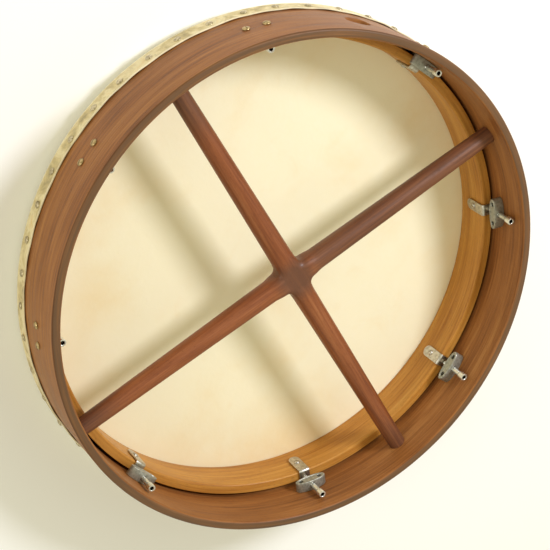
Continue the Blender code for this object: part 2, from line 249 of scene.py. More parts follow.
def wood(name, tones, bent, seed, specular, coat, marks=None):
    """Straight-grained wood under varnish. tones run from its darkest streak to its lightest.
    marks, if given, takes the nodes, the colour and the streaks and returns the colour with its marks and
    painted shade."""
    n = Nodes(name)
    broad = n.grain_noise(bent, 0.120, 0.0120, 2.0, 0.5, seed)
    streak = n.grain_noise(bent, 0.070, 0.0022, 4.0, 0.60, seed + 7)
    fine = n.grain_noise(bent, 0.022, 0.0006, 2.0, 0.55, seed + 13)
    pore = n.grain_noise(bent, 0.0035, 0.00028, 1.0, 0.5, seed + 19)
    pores = n.level(pore, 0.60, 0.72)
    tone = n.maths("MULTIPLY_ADD", streak, 0.50, n.maths("MULTIPLY", broad, 0.35))
    tone = n.maths("MULTIPLY_ADD", fine, 0.15, tone)
    stops = [(0.36 + 0.28 * i / (len(tones) - 1), colour) for i, colour in enumerate(tones)]
    colour = n.ramp(tone, *stops)
    colour = n.mix(n.maths("MULTIPLY", pores, 0.45), colour, tuple(c * 0.35 for c in tones[0]))
    if marks:
        colour = marks(n, colour, streak)
    relief = n.maths("SUBTRACT", n.maths("MULTIPLY", fine, 0.35), n.maths("MULTIPLY", pores, 0.6))
    n.put(
        Base_Color=colour,
        Roughness=n.level(streak, 0.30, 0.70, 0.36, 0.50),
        Specular_IOR_Level=specular,
        Coat_Weight=coat,
        Coat_Roughness=0.22,
        Normal=n.bump(relief, 0.00012),
    )
    return n.material


def hoop_back_edge_and_corner_shade(n, colour, streak):
    """A darker back edge, and painted shade: a dark line along its outer corner."""
    edge = n.maths("MULTIPLY", n.level(n.z, 0.0852, 0.0859), n.level(streak, 0.30, 0.75, 0.95, 0.60))
    colour = n.mix(edge, colour, (0.120, 0.070, 0.038))
    across = n.maths("ADD", n.maths("POWER", n.x, 2.0), n.maths("POWER", n.y, 2.0))
    outer = n.level(n.maths("SQRT", across), 0.2262, 0.2272)
    # Painted shade along the outer corner of the back edge.
    line = n.maths("MULTIPLY", n.level(n.z, 0.0842, 0.0850), n.level(n.z, 0.0853, 0.0858, 1.0, 0.0))
    line = n.maths("MULTIPLY", n.maths("MULTIPLY", line, outer), 0.65)
    return n.mix(line, colour, (0.045, 0.028, 0.018))


def bar_tone_and_end_shade(darker_arm):
    """An even tone at the crossing, darker round it and along the +X arm, and painted shade at both ends, by
    the hoop's wall.
    """

    def marks(n, colour, streak):
        far = n.maths("ABSOLUTE", n.x)
        colour = n.mix(n.level(far, 0.006, 0.022, 0.70, 0.0), colour, (0.225, 0.068, 0.023))
        middle = n.level(far, 0.008, 0.026, 0.44, 0.0)
        # Painted shade towards both ends, where the bar meets the hoop's wall.
        ends = n.level(n.maths("ABSOLUTE", n.maths("ADD", n.x, 0.012)), 0.160, 0.208, 0.0, 0.42)
        arm = n.level(n.x, 0.004, 0.030, 0.0, darker_arm)
        share = n.maths("MAXIMUM", n.maths("MAXIMUM", middle, ends), arm)
        share = n.maths("MULTIPLY", share, n.level(streak, 0.25, 0.75, 1.15, 0.85))
        return n.mix(share, colour, (0.025, 0.036, 0.033))

    return marks


def bar_wood(name, seed, darker_arm):
    """The crossbars' wood, redder and darker than the hoop's."""
    tones = ((0.145, 0.039, 0.013), (0.210, 0.060, 0.019), (0.270, 0.086, 0.028), (0.325, 0.118, 0.042))
    return wood(name, tones, bent=False, seed=seed, specular=0.28, coat=0.12, marks=bar_tone_and_end_shade(darker_arm))


def skin_hide(name):
    """Scraped goat skin: cream, clouded with gold, and stained where it laps the hoop."""
    n = Nodes(name)
    cloud = n.noise(n.place, 9.0, 4.0, 0.55, 2.0, 0.4)
    patch = n.noise(n.place, 26.0, 4.0, 0.60, 5.0, 0.6)
    mottle = n.noise(n.place, 120.0, 4.0, 0.62, 9.0)
    pore = n.noise(n.place, 900.0, 2.0, 0.5, 4.0)
    cream, gold = (0.920, 0.856, 0.615), (0.850, 0.640, 0.310)
    head = n.mix(n.level(cloud, 0.46, 0.74, 0.0, 0.45), cream, gold)
    head = n.mix(n.level(patch, 0.55, 0.80, 0.0, 0.25), head, gold)
    for x, y, reach, depth in SKIN_STAINS:
        away = n.vector(n.maths("SUBTRACT", n.x, x), n.maths("SUBTRACT", n.y, y), 0.0)
        length = n.add("ShaderNodeVectorMath", operation="LENGTH")
        n.feed(length.inputs[0], away)
        ragged = n.maths("MULTIPLY_ADD", patch, reach, length.outputs["Value"])
        head = n.mix(n.level(ragged, reach * 0.4, reach * 1.6, depth, 0.0), head, gold)
    head = n.mix(n.level(mottle, 0.35, 0.75, 0.0, 0.12), head, (0.93, 0.88, 0.74))
    lap_patch = n.noise(n.place, 48.0, 5.0, 0.62, 12.0, 0.8)
    lap_spot = n.noise(n.place, 170.0, 4.0, 0.60, 15.0, 0.5)
    lap = n.ramp(
        lap_patch,
        (0.34, (0.370, 0.295, 0.145)),
        (0.45, (0.595, 0.480, 0.235)),
        (0.55, (0.770, 0.665, 0.400)),
        (0.70, (0.700, 0.500, 0.210)),
    )
    lap = n.mix(n.level(lap_spot, 0.54, 0.72, 0.0, 0.45), lap, (0.330, 0.300, 0.190))
    edge = n.level(n.z, SKIN_LAP_Z - 0.0016, SKIN_LAP_Z - 0.0002)
    lap = n.mix(n.maths("MULTIPLY", edge, 0.6), lap, (0.860, 0.790, 0.580))
    colour = n.mix(n.level(n.z, 0.0030, 0.0100), head, lap)
    relief = n.maths("ADD", n.maths("MULTIPLY", mottle, 0.6), n.maths("MULTIPLY", pore, 0.12))
    n.put(
        Base_Color=colour,
        Roughness=n.level(patch, 0.30, 0.70, 0.48, 0.66),
        Normal=n.bump(relief, 0.0004),
    )
    return n.material


def metal(name, light, dark, roughness, brush, relief, metallic=1.0, socket_shade=False):
    """Metal with cloudy tarnish and fine marks that are drawn out by brush along X, Y and Z.
    The last argument is for a bolt: it paints shade inside the key socket."""
    n = Nodes(name)
    stretched = n.vector(*(n.maths("DIVIDE", axis, size) for axis, size in zip((n.x, n.y, n.z), brush)))
    marks = n.noise(stretched, 1.0, 3.0, 0.55, 3.0)
    tarnish = n.noise(n.place, 420.0, 4.0, 0.60, 7.0)
    colour = n.mix(n.level(tarnish, 0.38, 0.70), light, dark)
    colour = n.mix(n.level(marks, 0.30, 0.70, 0.0, 0.35), colour, tuple(c * 0.55 for c in light))
    if socket_shade:
        # Painted shade in the bolt's key socket: darker inside the hollow.
        across = n.maths("ADD", n.maths("POWER", n.x, 2.0), n.maths("POWER", n.y, 2.0))
        inside = n.level(n.maths("SQRT", across), 0.00195, 0.0021, 1.0, 0.0)
        high = n.level(n.z, BOLT_TOP_Z - 0.0066, BOLT_TOP_Z - 0.0062)
        below = n.level(n.z, BOLT_TOP_Z - 0.0010, BOLT_TOP_Z - 0.0003, 1.0, 0.0)
        inside = n.maths("MULTIPLY", n.maths("MULTIPLY", inside, high), below)
        colour = n.mix(inside, colour, (0.090, 0.082, 0.060))
    n.put(
        Base_Color=colour,
        Metallic=metallic,
        Roughness=n.level(marks, 0.30, 0.70, roughness - 0.07, roughness + 0.10),
        Normal=n.bump(marks, relief),
    )
    return n.material


# ---------------------------------------------------------------- Mesh tools


def rounded(corners, steps=6):
    """A closed outline from its corners, each (a, b, radius), with the arcs filled in."""
    points = []
    for i, (a, b, radius) in enumerate(corners):
        here = Vector((a, b))
        if radius == 0:
            points.append((a, b))
            continue
        back = (Vector(corners[i - 1][:2]) - here).normalized()
        ahead = (Vector(corners[(i + 1) % len(corners)][:2]) - here).normalized()
        half = back.angle(ahead) / 2
        centre = here + (back + ahead).normalized() * radius / math.sin(half)
        start = here + back * radius / math.tan(half) - centre
        end = here + ahead * radius / math.tan(half) - centre
        sweep = math.atan2(start.cross(end), start.dot(end))
        for step in range(steps + 1):
            turn = sweep * step / steps
            c, s = math.cos(turn), math.sin(turn)
            points.append((centre.x + start.x * c - start.y * s, centre.y + start.x * s + start.y * c))
    return points


def mesh_from(name, verts, faces, sharp=35):
    mesh = bpy.data.meshes.new(name)
    mesh.from_pydata(verts, [], faces)
    build = bmesh.new()
    build.from_mesh(mesh)
    bmesh.ops.recalc_face_normals(build, faces=build.faces)
    build.to_mesh(mesh)
    build.free()
    mesh.shade_smooth()
    mesh.set_sharp_from_angle(angle=math.radians(sharp))
    return mesh


def turned(name, profile, segments):
    """Turns a closed (radius, z) outline about Z. A point with radius 0 stays one vertex."""
    verts, rings = [], []
    for radius, z in profile:
        if radius < 1e-7:
            rings.append([len(verts)] * segments)
            verts.append((0, 0, z))
            continue
        rings.append(list(range(len(verts), len(verts) + segments)))
        for i in range(segments):
            turn = 2 * math.pi * i / segments
            verts.append((radius * math.cos(turn), radius * math.sin(turn), z))
    faces = []
    for ring, after in zip(rings, rings[1:] + rings[:1]):
        for i in range(segments):
            j = (i + 1) % segments
            corners = list(dict.fromkeys((ring[i], ring[j], after[j], after[i])))
            if len(corners) > 2:
                faces.append(corners)
    return mesh_from(name, verts, faces)


def lofted(name, sections):
    """Joins equal closed sections, lists of points, and caps both ends."""
    count = len(sections[0])
    verts = [point for section in sections for point in section]
    faces = [list(range(count)), list(range(len(verts) - count, len(verts)))]
    for row in range(len(sections) - 1):
        for i in range(count):
            j = (i + 1) % count
            low, high = row * count, (row + 1) * count
            faces.append((low + i, low + j, high + j, high + i))
    return mesh_from(name, verts, faces)


def box_mesh(name, low, high):
    corners = [(x, y, z) for x in (low[0], high[0]) for y in (low[1], high[1]) for z in (low[2], high[2])]
    sides = [(0, 1, 3, 2), (4, 6, 7, 5), (0, 4, 5, 1), (2, 3, 7, 6), (0, 2, 6, 4), (1, 5, 7, 3)]
    return mesh_from(name, corners, sides)


def moved(mesh, matrix):
    mesh.transform(matrix)
    return mesh


def joined(name, meshes):
    build = bmesh.new()
    for mesh in meshes:
        build.from_mesh(mesh)
    made = bpy.data.meshes.new(name)
    build.to_mesh(made)
    build.free()
    return made


def evaluated(obj, name):
    """The object's mesh with its modifiers applied. The object is removed."""
    bpy.context.view_layer.update()
    graph = bpy.context.evaluated_depsgraph_get()
    mesh = bpy.data.meshes.new_from_object(obj.evaluated_get(graph))
    mesh.name = name
    bpy.data.objects.remove(obj, do_unlink=True)
    return mesh


def scratch(mesh):
    obj = bpy.data.objects.new(mesh.name, mesh)
    bpy.context.scene.collection.objects.link(obj)
    return obj


def combined(mesh, other, operation, sharp=35):
    """The first mesh after a Boolean with the second."""
    obj, tool = scratch(mesh), scratch(other)
    modifier = obj.modifiers.new("boolean", "BOOLEAN")
    modifier.operation, modifier.solver, modifier.object = operation, "EXACT", tool
    made = evaluated(obj, mesh.name)
    bpy.data.objects.remove(tool, do_unlink=True)
    made.shade_smooth()
    made.set_sharp_from_angle(angle=math.radians(sharp))
    return made


def rod_x(name, stations, sides=48):
    """A turned rod through (radius, x) stations along X."""
    outline = [(0, stations[0][1]), *stations, (0, stations[-1][1])]
    turn = Matrix.Rotation(math.radians(90), 4, "Y")
    return moved(turned(name, outline, sides), turn)


def add_piece(name, mesh, finish, body, nodes, place=None):
    """Adds a piece. Its own coordinates are kept in an attribute, which the materials read."""
    grain = mesh.attributes.new("grain", "FLOAT_VECTOR", "POINT")
    coordinates = np.zeros(len(mesh.vertices) * 3, np.float32)
    mesh.vertices.foreach_get("co", coordinates)
    grain.data.foreach_set("vector", coordinates)
    if place is not None:
        mesh.transform(place)
    mesh.materials.clear()
    mesh.materials.append(finish)
    obj = bpy.data.objects.new(name, mesh)
    bpy.context.scene.collection.objects.link(obj)
    if body:
        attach(obj, body)
    if nodes:
        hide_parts(*nodes)
    return obj


# ---------------------------------------------------------------- Hoop, ring and skin


def tuner_places():
    """(number, matrix) of each tuner, from its bolt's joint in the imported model."""
    for number in range(1, 9):
        joint = next(j for j in frame["joints"] if j["name"] == f"bolt_turn_{number}")
        x, y = joint["pos_m"][:2]
        turn = Matrix.Rotation(math.atan2(y, x), 4, "Z")
        yield number, Matrix.Translation((x, y, 0)) @ turn


def hoop_cutters():
    """The vent, flared a little where it breaks the surface, and the screw holes."""
    wall_in, wall_out = HOOP_INNER - HOOP_RADIUS + HOOP_OUT, HOOP_OUT
    cutters = []
    lip = 0.0014
    stations = []
    for step in range(7):
        turn = math.pi / 2 * step / 6
        stations.append((VENT_RADIUS + lip * (1 - math.sin(turn)), lip * (1 - math.cos(turn))))
    inner = [(radius, HOOP_INNER - 0.0003 + x) for radius, x in stations]
    outer = [(radius, HOOP_RADIUS - x) for radius, x in reversed(stations)]
    flare = VENT_RADIUS + lip
    vent = rod_x("vent", [(flare, HOOP_INNER - 0.004), *inner, *outer, (flare, HOOP_RADIUS + 0.004)], 96)
    turn = Matrix.Rotation(math.radians(VENT_ANGLE), 4, "Z")
    cutters.append(moved(vent, turn @ Matrix.Translation((0, 0, VENT_Z))))
    for _, place in tuner_places():
        for side in (-1, 1):
            hole = rod_x("hole", [(LUG_HOLE, wall_in - 0.004), (LUG_HOLE, wall_out + 0.004)], 32)
            offset = Matrix.Translation((0, side * SCREW_SPACING / 2, LUG_Z))
            cutters.append(moved(hole, place @ offset))
    return joined("hoop_cutters", cutters)


def make_hoop(finish):
    outline = rounded([
        (HOOP_INNER, HOOP_HEAD_Z, 0.0006),
        (HOOP_RADIUS, HOOP_HEAD_Z, HOOP_HEAD_ROUND),
        (HOOP_RADIUS, DRUM_DEPTH, 0.0021),
        (HOOP_INNER, DRUM_DEPTH, 0.0026),
    ], 8)
    hoop = turned("hoop", outline, SEGMENTS)
    hoop = combined(hoop, hoop_cutters(), "DIFFERENCE")
    add_piece("hoop", hoop, finish, "frame", ["hoop_frame"])


def make_ring(finish):
    outline = rounded([
        (RING_INNER, RING_HEAD_Z, 0.0005),
        (RING_OUTER - 0.0032, RING_HEAD_Z, 0.0020),
        (RING_OUTER, RING_HEAD_Z + 0.0020, 0.0020),
        (RING_OUTER, RING_BACK_Z, 0.0008),
        (RING_INNER, RING_BACK_Z, 0.0019),
    ], 8)
    ring = turned("ring", outline, SEGMENTS)
    holes = []
    for _, place in tuner_places():
        hole = rod_x("hole", [(0.0018, RING_INNER - BOLT_RADIUS - 0.004), (0.0018, -0.0007)], 32)
        holes.append(moved(hole, place @ Matrix.Translation((0, 0, BRACKET_SCREW_Z))))
    ring = combined(ring, joined("ring_holes", holes), "DIFFERENCE")
    add_piece("ring", ring, finish, "ring", ["tuning_ring"])


def through_points(points, steps):
    """A smooth curve through points (centripetal Catmull-Rom), as a list of points."""
    places = [Vector(point) for point in points]
    places = [2 * places[0] - places[1], *places, 2 * places[-1] - places[-2]]
    curve = []
    for a, b, c, d in zip(places, places[1:], places[2:], places[3:]):
        t0 = 0.0
        t1 = t0 + (b - a).length ** 0.5
        t2 = t1 + (c - b).length ** 0.5
        t3 = t2 + (d - c).length ** 0.5
        for step in range(steps):
            t = t1 + (t2 - t1) * step / steps
            ab = a * (t1 - t) / (t1 - t0) + b * (t - t0) / (t1 - t0)
            bc = b * (t2 - t) / (t2 - t1) + c * (t - t1) / (t2 - t1)
            cd = c * (t3 - t) / (t3 - t2) + d * (t - t2) / (t3 - t2)
            abc = ab * (t2 - t) / (t2 - t0) + bc * (t - t0) / (t2 - t0)
            bcd = bc * (t3 - t) / (t3 - t1) + cd * (t - t1) / (t3 - t1)
            curve.append(tuple(abc * (t2 - t) / (t2 - t1) + bcd * (t - t1) / (t2 - t1)))
    curve.append(tuple(places[-2]))
    return curve


def make_skin(finish):
    """A closed thin sheet: flat head, drawn over the hoop's edge, tacked down its side."""
    thickness = SKIN_THICKNESS
    inner_lap = SKIN_LAP_RADIUS - thickness
    flat = [0.0, 0.030, 0.070, 0.110, 0.150, 0.180, 0.200]
    over = through_points([
        (0.2110, 0.0), (0.2140, 0.0), (0.2185, 0.0004), (0.2245, 0.0019), (0.2278, 0.0037),
        (0.2294, 0.0060), (SKIN_LAP_RADIUS, 0.0088), (SKIN_LAP_RADIUS, 0.0125),
    ], 5)
    under = through_points([
        (inner_lap, 0.0125), (inner_lap, 0.0090), (0.2283, 0.0066), (0.2270, 0.0047),
        (0.2240, 0.0030), (0.2183, 0.00145), (0.2140, thickness), (0.2110, thickness),
    ], 5)
    side = [0.0155, 0.0185, 0.0210, 0.0225, 0.0233]
    edge = rounded([
        (SKIN_LAP_RADIUS, 0.0200, 0), (SKIN_LAP_RADIUS, SKIN_LAP_Z, 0.0003),
        (inner_lap, SKIN_LAP_Z, 0.0002), (inner_lap, 0.0200, 0),
    ], 3)[1:-1]
    outline = [(radius, 0.0) for radius in flat] + over
    outline += [(SKIN_LAP_RADIUS, z) for z in side] + edge + [(inner_lap, z) for z in reversed(side)]
    outline += under + [(radius, thickness) for radius in reversed(flat)]
    mesh = turned("skin", outline, SEGMENTS)
    for vertex in mesh.vertices:
        radius = math.hypot(vertex.co.x, vertex.co.y)
        if radius < 0.2280 or vertex.co.z < 0.0090:
            continue
        angle = math.atan2(vertex.co.y, vertex.co.x)
        up = (vertex.co.z - 0.0090) / (SKIN_LAP_Z - 0.0090)
        between = math.sin(TACK_COUNT / 2 * (angle - math.radians(TACK_FIRST_ANGLE))) ** 2
        lift = 0.00045 * between * up**3 + 0.00012 * (1 + math.sin(31 * angle + 1)) * up**2
        wave = 0.00035 * math.sin(9 * angle + 0.6) + 0.00025 * math.sin(23 * angle + 2.0)
        wave += 0.00018 * math.sin(57 * angle + 4.0) + 0.00035 * between
        stretch = (radius + lift) / radius
        vertex.co.x *= stretch
        vertex.co.y *= stretch
        vertex.co.z += wave * up**2
    skin = add_piece("skin", mesh, finish, None, ["goat_skin"])
    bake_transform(skin)


def make_tacks(finish):
    """Domed upholstery tacks, each driven a little askew."""
    dice = random.Random(18)
    profile = [(TACK_RADIUS * 0.80, 0.0), (TACK_RADIUS, 0.00006), (TACK_RADIUS * 1.01, 0.00028)]
    for step in range(1, 8):
        turn = math.pi / 2 * step / 8
        profile.append((TACK_RADIUS * math.cos(turn), 0.0003 + (TACK_HEIGHT - 0.0003) * math.sin(turn)))
    profile = [(0, 0.0), *profile, (0, TACK_HEIGHT)]
    outward = Matrix.Rotation(math.radians(90), 4, "Y")
    tacks = []
    for number in range(TACK_COUNT):
        angle = TACK_FIRST_ANGLE + 360 * number / TACK_COUNT + dice.uniform(-0.35, 0.35)
        tilt = Matrix.Rotation(math.radians(dice.uniform(-7, 7)), 4, "Z")
        nod = Matrix.Rotation(math.radians(dice.uniform(-5, 7)), 4, "Y")
        turn = Matrix.Rotation(math.radians(angle), 4, "Z")
        seat = Matrix.Translation((SKIN_LAP_RADIUS + 0.00012, 0, TACK_Z + dice.uniform(-0.0007, 0.0007)))
        tack = turned("tack", profile, 28)
        tacks.append(moved(tack, turn @ seat @ tilt @ nod @ outward))
    mesh = joined("tacks", tacks)
    mesh.shade_smooth()
    mesh.set_sharp_from_angle(angle=math.radians(50))
    add_piece("tacks", mesh, finish, "frame", [])


# ---------------------------------------------------------------- Crossbars


def bar_distance(points, angle):
    """How far points about the crossing are outside one bar, and which way is out."""
    turn = math.radians(angle)
    along = points[:, 0] * math.cos(turn) + points[:, 1] * math.sin(turn)
    across = points[:, 1] * math.cos(turn) - points[:, 0] * math.sin(turn)
    far = np.abs(along)
    share = np.clip((far - SQUARE_HALF) / (SHOULDER_AT - SQUARE_HALF), 0, 1)
    share = share * share * (3 - 2 * share)
    taper = np.clip((far - SHOULDER_AT) / (HOOP_INNER - SHOULDER_AT), 0, 1.1)
    half = (BAR_MIDDLE + (BAR_SHOULDER - BAR_MIDDLE) * share + (BAR_END - BAR_SHOULDER) * taper) / 2
    power = SQUARENESS + (2 - SQUARENESS) * share
    a, b = np.abs(across) + 1e-9, np.abs(points[:, 2]) + 1e-9
    size = (a**power + b**power) ** (1 / power)
    out_y = (a / size) ** (power - 1) * np.sign(across)
    out_z = (b / size) ** (power - 1) * np.sign(points[:, 2])
    length = np.sqrt(out_y**2 + out_z**2) + 1e-9
    out = np.stack([-math.sin(turn) * out_y, math.cos(turn) * out_y, out_z], 1) / length[:, None]
    return size - half, out


def cross_distance(points):
    """The two bars as one carved shape, filleted where their sides meet and flat on top."""
    first, out_first = bar_distance(points, BAR_OVER_ANGLE)
    second, out_second = bar_distance(points, BAR_UNDER_ANGLE)
    alike = np.clip(np.abs((out_first * out_second).sum(1)), 0, 1)
    fillet = CROSSING_FILLET * (1 - alike) + 1e-6
    u, v = np.maximum(fillet - first, 0), np.maximum(fillet - second, 0)
    cross = np.maximum(fillet, np.minimum(first, second)) - np.sqrt(u * u + v * v)
    beyond = np.maximum(np.hypot(points[:, 0], points[:, 1]) - FLAT_REACH, 0)
    return np.maximum(cross, points[:, 2] - FLAT_HEIGHT - FLAT_RISE * beyond)


def settle(mesh, distance, rounds=8):
    """Moves each vertex to where distance is zero."""
    points = np.zeros(len(mesh.vertices) * 3)
    mesh.vertices.foreach_get("co", points)
    points = points.reshape(-1, 3)
    small = 0.00005
    for _ in range(rounds):
        value = distance(points)
        slope = np.zeros_like(points)
        for axis in range(3):
            step = np.zeros(3)
            step[axis] = small
            slope[:, axis] = (distance(points + step) - distance(points - step)) / (2 * small)
        steep = np.maximum((slope**2).sum(1), 0.05)
        move = np.clip(value / steep, -0.001, 0.001)
        points -= slope * move[:, None]
    mesh.vertices.foreach_set("co", points.ravel())
    mesh.update()


def bar_blank(angle):
    """A plain bar, a little long, for the carved shape to start from."""
    half, reach = BAR_SHOULDER / 2, HOOP_INNER + 0.008
    corners = rounded([(-half, -half, half * 0.8), (half, -half, half * 0.8),
                       (half, half, half * 0.8), (-half, half, half * 0.8)], 4)
    sections = [[(x, y, z) for y, z in corners] for x in (-reach, reach)]
    return moved(lofted("bar_blank", sections), Matrix.Rotation(math.radians(angle), 4, "Z"))


def carved_cross():
    """Both bars in one mesh about the crossing, with their ends shaped to the hoop's wall."""
    blank = combined(bar_blank(BAR_OVER_ANGLE), bar_blank(BAR_UNDER_ANGLE), "UNION")
    obj = scratch(blank)
    remesh = obj.modifiers.new("remesh", "REMESH")
    remesh.mode, remesh.voxel_size = "VOXEL", CARVING_VOXEL
    cross = evaluated(obj, "cross")
    settle(cross, cross_distance)
    wall = HOOP_INNER - 0.00012
    room = turned("room", [(0, -0.03), (wall, -0.03), (wall, 0.03), (0, 0.03)], SEGMENTS)
    moved(room, Matrix.Translation((-CROSSING.x, -CROSSING.y, 0)))
    return combined(cross, room, "INTERSECT")


def make_crossbars(finish_over, finish_under):
    """The half-lap: one bar runs over the other between the planes of its own sides."""
    cross = carved_cross()
    lap, long, tall = BAR_MIDDLE / 2, 0.3, 0.02
    over_turn = Matrix.Rotation(math.radians(BAR_OVER_ANGLE), 4, "Z")
    under_turn = Matrix.Rotation(math.radians(BAR_UNDER_ANGLE), 4, "Z")
    own = moved(box_mesh("own", (-long, -lap, -tall), (long, lap, tall)), over_turn)
    notch = moved(box_mesh("notch", (-0.05, -lap, -tall), (0.05, lap, 0)), under_turn)
    own = combined(own, notch, "DIFFERENCE")
    over = combined(cross.copy(), own.copy(), "INTERSECT")
    under = combined(cross, own, "DIFFERENCE")
    for name, mesh, turn, finish in (
        ("crossbar_over", over, over_turn, finish_over),
        ("crossbar_under", under, under_turn, finish_under),
    ):
        mesh.transform(turn.inverted())
        place = Matrix.Translation(CROSSING) @ turn
        add_piece(f"{name}_carved", mesh, finish, "frame", [name], place)


# ---------------------------------------------------------------- Tuners


def lug_section(x, inset):
    """The lug's oval outline at a distance outward, drawn in by inset."""
    sides, fullness = 96, 2 / LUG_FULLNESS
    points = []
    for i in range(sides):
        turn = 2 * math.pi * (i + 0.5) / sides
        c, s = math.cos(turn), math.sin(turn)
        y = (LUG_LENGTH / 2 - inset) * math.copysign(abs(c) ** fullness, c)
        z = (LUG_HEIGHT / 2 - inset) * math.copysign(abs(s) ** fullness, s)
        points.append((x, y, z))
    return points


def lug_mesh():
    """A cast lug with a raised rim round its face, a bore for the bolt and two screw holes."""
    edge, rim, recess = 0.0007, 0.0009, 0.00045
    sections = [lug_section(LUG_BACK, edge)] + [
        lug_section(LUG_BACK - edge * (1 - math.cos(t)), edge * (1 - math.sin(t)))
        for t in (math.pi / 8 * step for step in range(1, 5))
    ]
    for step in range(5):
        turn = math.pi / 2 * step / 4
        sections.append(lug_section(LUG_FRONT + edge * (1 - math.sin(turn)), edge * (1 - math.cos(turn))))
    sections.append(lug_section(LUG_FRONT, edge + rim))
    sections.append(lug_section(LUG_FRONT + recess * 0.3, edge + rim + recess * 0.25))
    sections.append(lug_section(LUG_FRONT + recess, edge + rim + recess * 0.6))
    lug = lofted("lug", sections)
    for vertex in lug.vertices:
        if vertex.co.x > LUG_BACK - edge - 1e-6:
            wall = math.sqrt(HOOP_INNER**2 - vertex.co.y**2) - BOLT_RADIUS
            vertex.co.x += wall - 0.0001 - LUG_BACK
    flare, deep = 0.0004, 0.008
    bore = turned("bore", [(0, -deep), (BOLT_BORE + flare, -deep), (BOLT_BORE + flare, -LUG_HEIGHT / 2),
                           (BOLT_BORE, -LUG_HEIGHT / 2 + flare), (BOLT_BORE, LUG_HEIGHT / 2 - flare),
                           (BOLT_BORE + flare, LUG_HEIGHT / 2), (BOLT_BORE + flare, deep), (0, deep)], 48)
    holes = []
    for side in (-1, 1):
        face = LUG_FRONT + recess
        hole = rod_x("hole", [(LUG_HOLE + flare, face - 0.003), (LUG_HOLE + flare, face),
                              (LUG_HOLE, face + flare), (LUG_HOLE, LUG_BACK + 0.003)], 40)
        holes.append(moved(hole, Matrix.Translation((0, side * SCREW_SPACING / 2, 0))))
    return combined(lug, joined("lug_cutters", [bore, *holes]), "DIFFERENCE", 30)


def bolt_mesh():
    """A tuning bolt: threaded where it runs in the lug, with a flared head and a hex socket."""
    head_low = BOLT_TOP_Z - BOLT_HEAD_LENGTH
    start, end = BOLT_TIP_Z + 0.0008, LUG_Z + LUG_HEIGHT / 2 + 0.0006
    rows = round((end - start) / THREAD_PITCH * THREAD_ROWS)
    profile = [(0, BOLT_TIP_Z), (BOLT_SHANK * 0.55, BOLT_TIP_Z), (BOLT_SHANK * 0.80, BOLT_TIP_Z + 0.0004)]
    profile += [(BOLT_SHANK, start + (end - start) * row / rows) for row in range(rows + 1)]
    profile += [(BOLT_SHANK, z) for z in (end + 0.002, head_low - 0.0005)]
    profile += [(BOLT_SHANK + 0.00010, head_low), (BOLT_SHANK + 0.00042, head_low + 0.0007)]
    profile += [(BOLT_HEAD - 0.0001, head_low + 0.0016), (BOLT_HEAD, head_low + 0.0022)]
    profile += [(BOLT_HEAD, BOLT_TOP_Z - 0.0005), (BOLT_HEAD - 0.00012, BOLT_TOP_Z - 0.00015)]
    profile += [(BOLT_HEAD - 0.0004, BOLT_TOP_Z), (0, BOLT_TOP_Z)]
    bolt = turned("bolt", profile, 48)
    for vertex in bolt.vertices:
        if not start <= vertex.co.z <= end + 1e-6:
            continue
        angle = math.atan2(vertex.co.y, vertex.co.x) / (2 * math.pi)
        phase = ((vertex.co.z - start) / THREAD_PITCH - angle) % 1.0
        fade = min((vertex.co.z - start) / THREAD_FADE, (end - vertex.co.z) / THREAD_FADE, 1.0)
        cut = 1 - THREAD_DEPTH * min(1.0, THREAD_FLANK * min(phase, 1 - phase)) * fade / BOLT_SHANK
        vertex.co.x *= cut
        vertex.co.y *= cut
    past = BOLT_TOP_Z + 0.001
    socket = turned("socket", [(0, BOLT_TOP_Z - SOCKET_DEPTH), (SOCKET_RADIUS, BOLT_TOP_Z - 0.0056),
                               (SOCKET_RADIUS, past), (0, past)], 6)
    mouth = turned("mouth", [(0, BOLT_TOP_Z - 0.0009), (0.0018, BOLT_TOP_Z - 0.0004), (0.0022, BOLT_TOP_Z),
                             (0.0022, past), (0, past)], 48)
    bolt = combined(bolt, socket, "DIFFERENCE", 30)
    return combined(bolt, mouth, "DIFFERENCE", 30)


def bracket_path(distance):
    """Where the strip's middle plane is at a distance from the leg's low end: (x, z, lean)."""
    middle = BRACKET_SHEET / 2
    bend = BRACKET_BEND + middle
    leg = BRACKET_FOOT_LOW - BRACKET_BEND - BRACKET_LEG_Z
    centre_x, centre_z = BRACKET_LEG_OUT + BRACKET_BEND, BRACKET_FOOT_LOW - BRACKET_BEND
    if distance <= leg:
        return centre_x - bend, BRACKET_LEG_Z + distance, 0.0
    turn = (distance - leg) / bend
    if turn <= math.pi / 2:
        return centre_x - bend * math.cos(turn), centre_z + bend * math.sin(turn), turn
    return centre_x + (turn - math.pi / 2) * bend, centre_z + bend, math.pi / 2


def bracket_length():
    bend = BRACKET_BEND + BRACKET_SHEET / 2
    leg = BRACKET_FOOT_LOW - BRACKET_BEND - BRACKET_LEG_Z
    return leg + bend * math.pi / 2 + BRACKET_FOOT_END - BRACKET_LEG_OUT - BRACKET_BEND


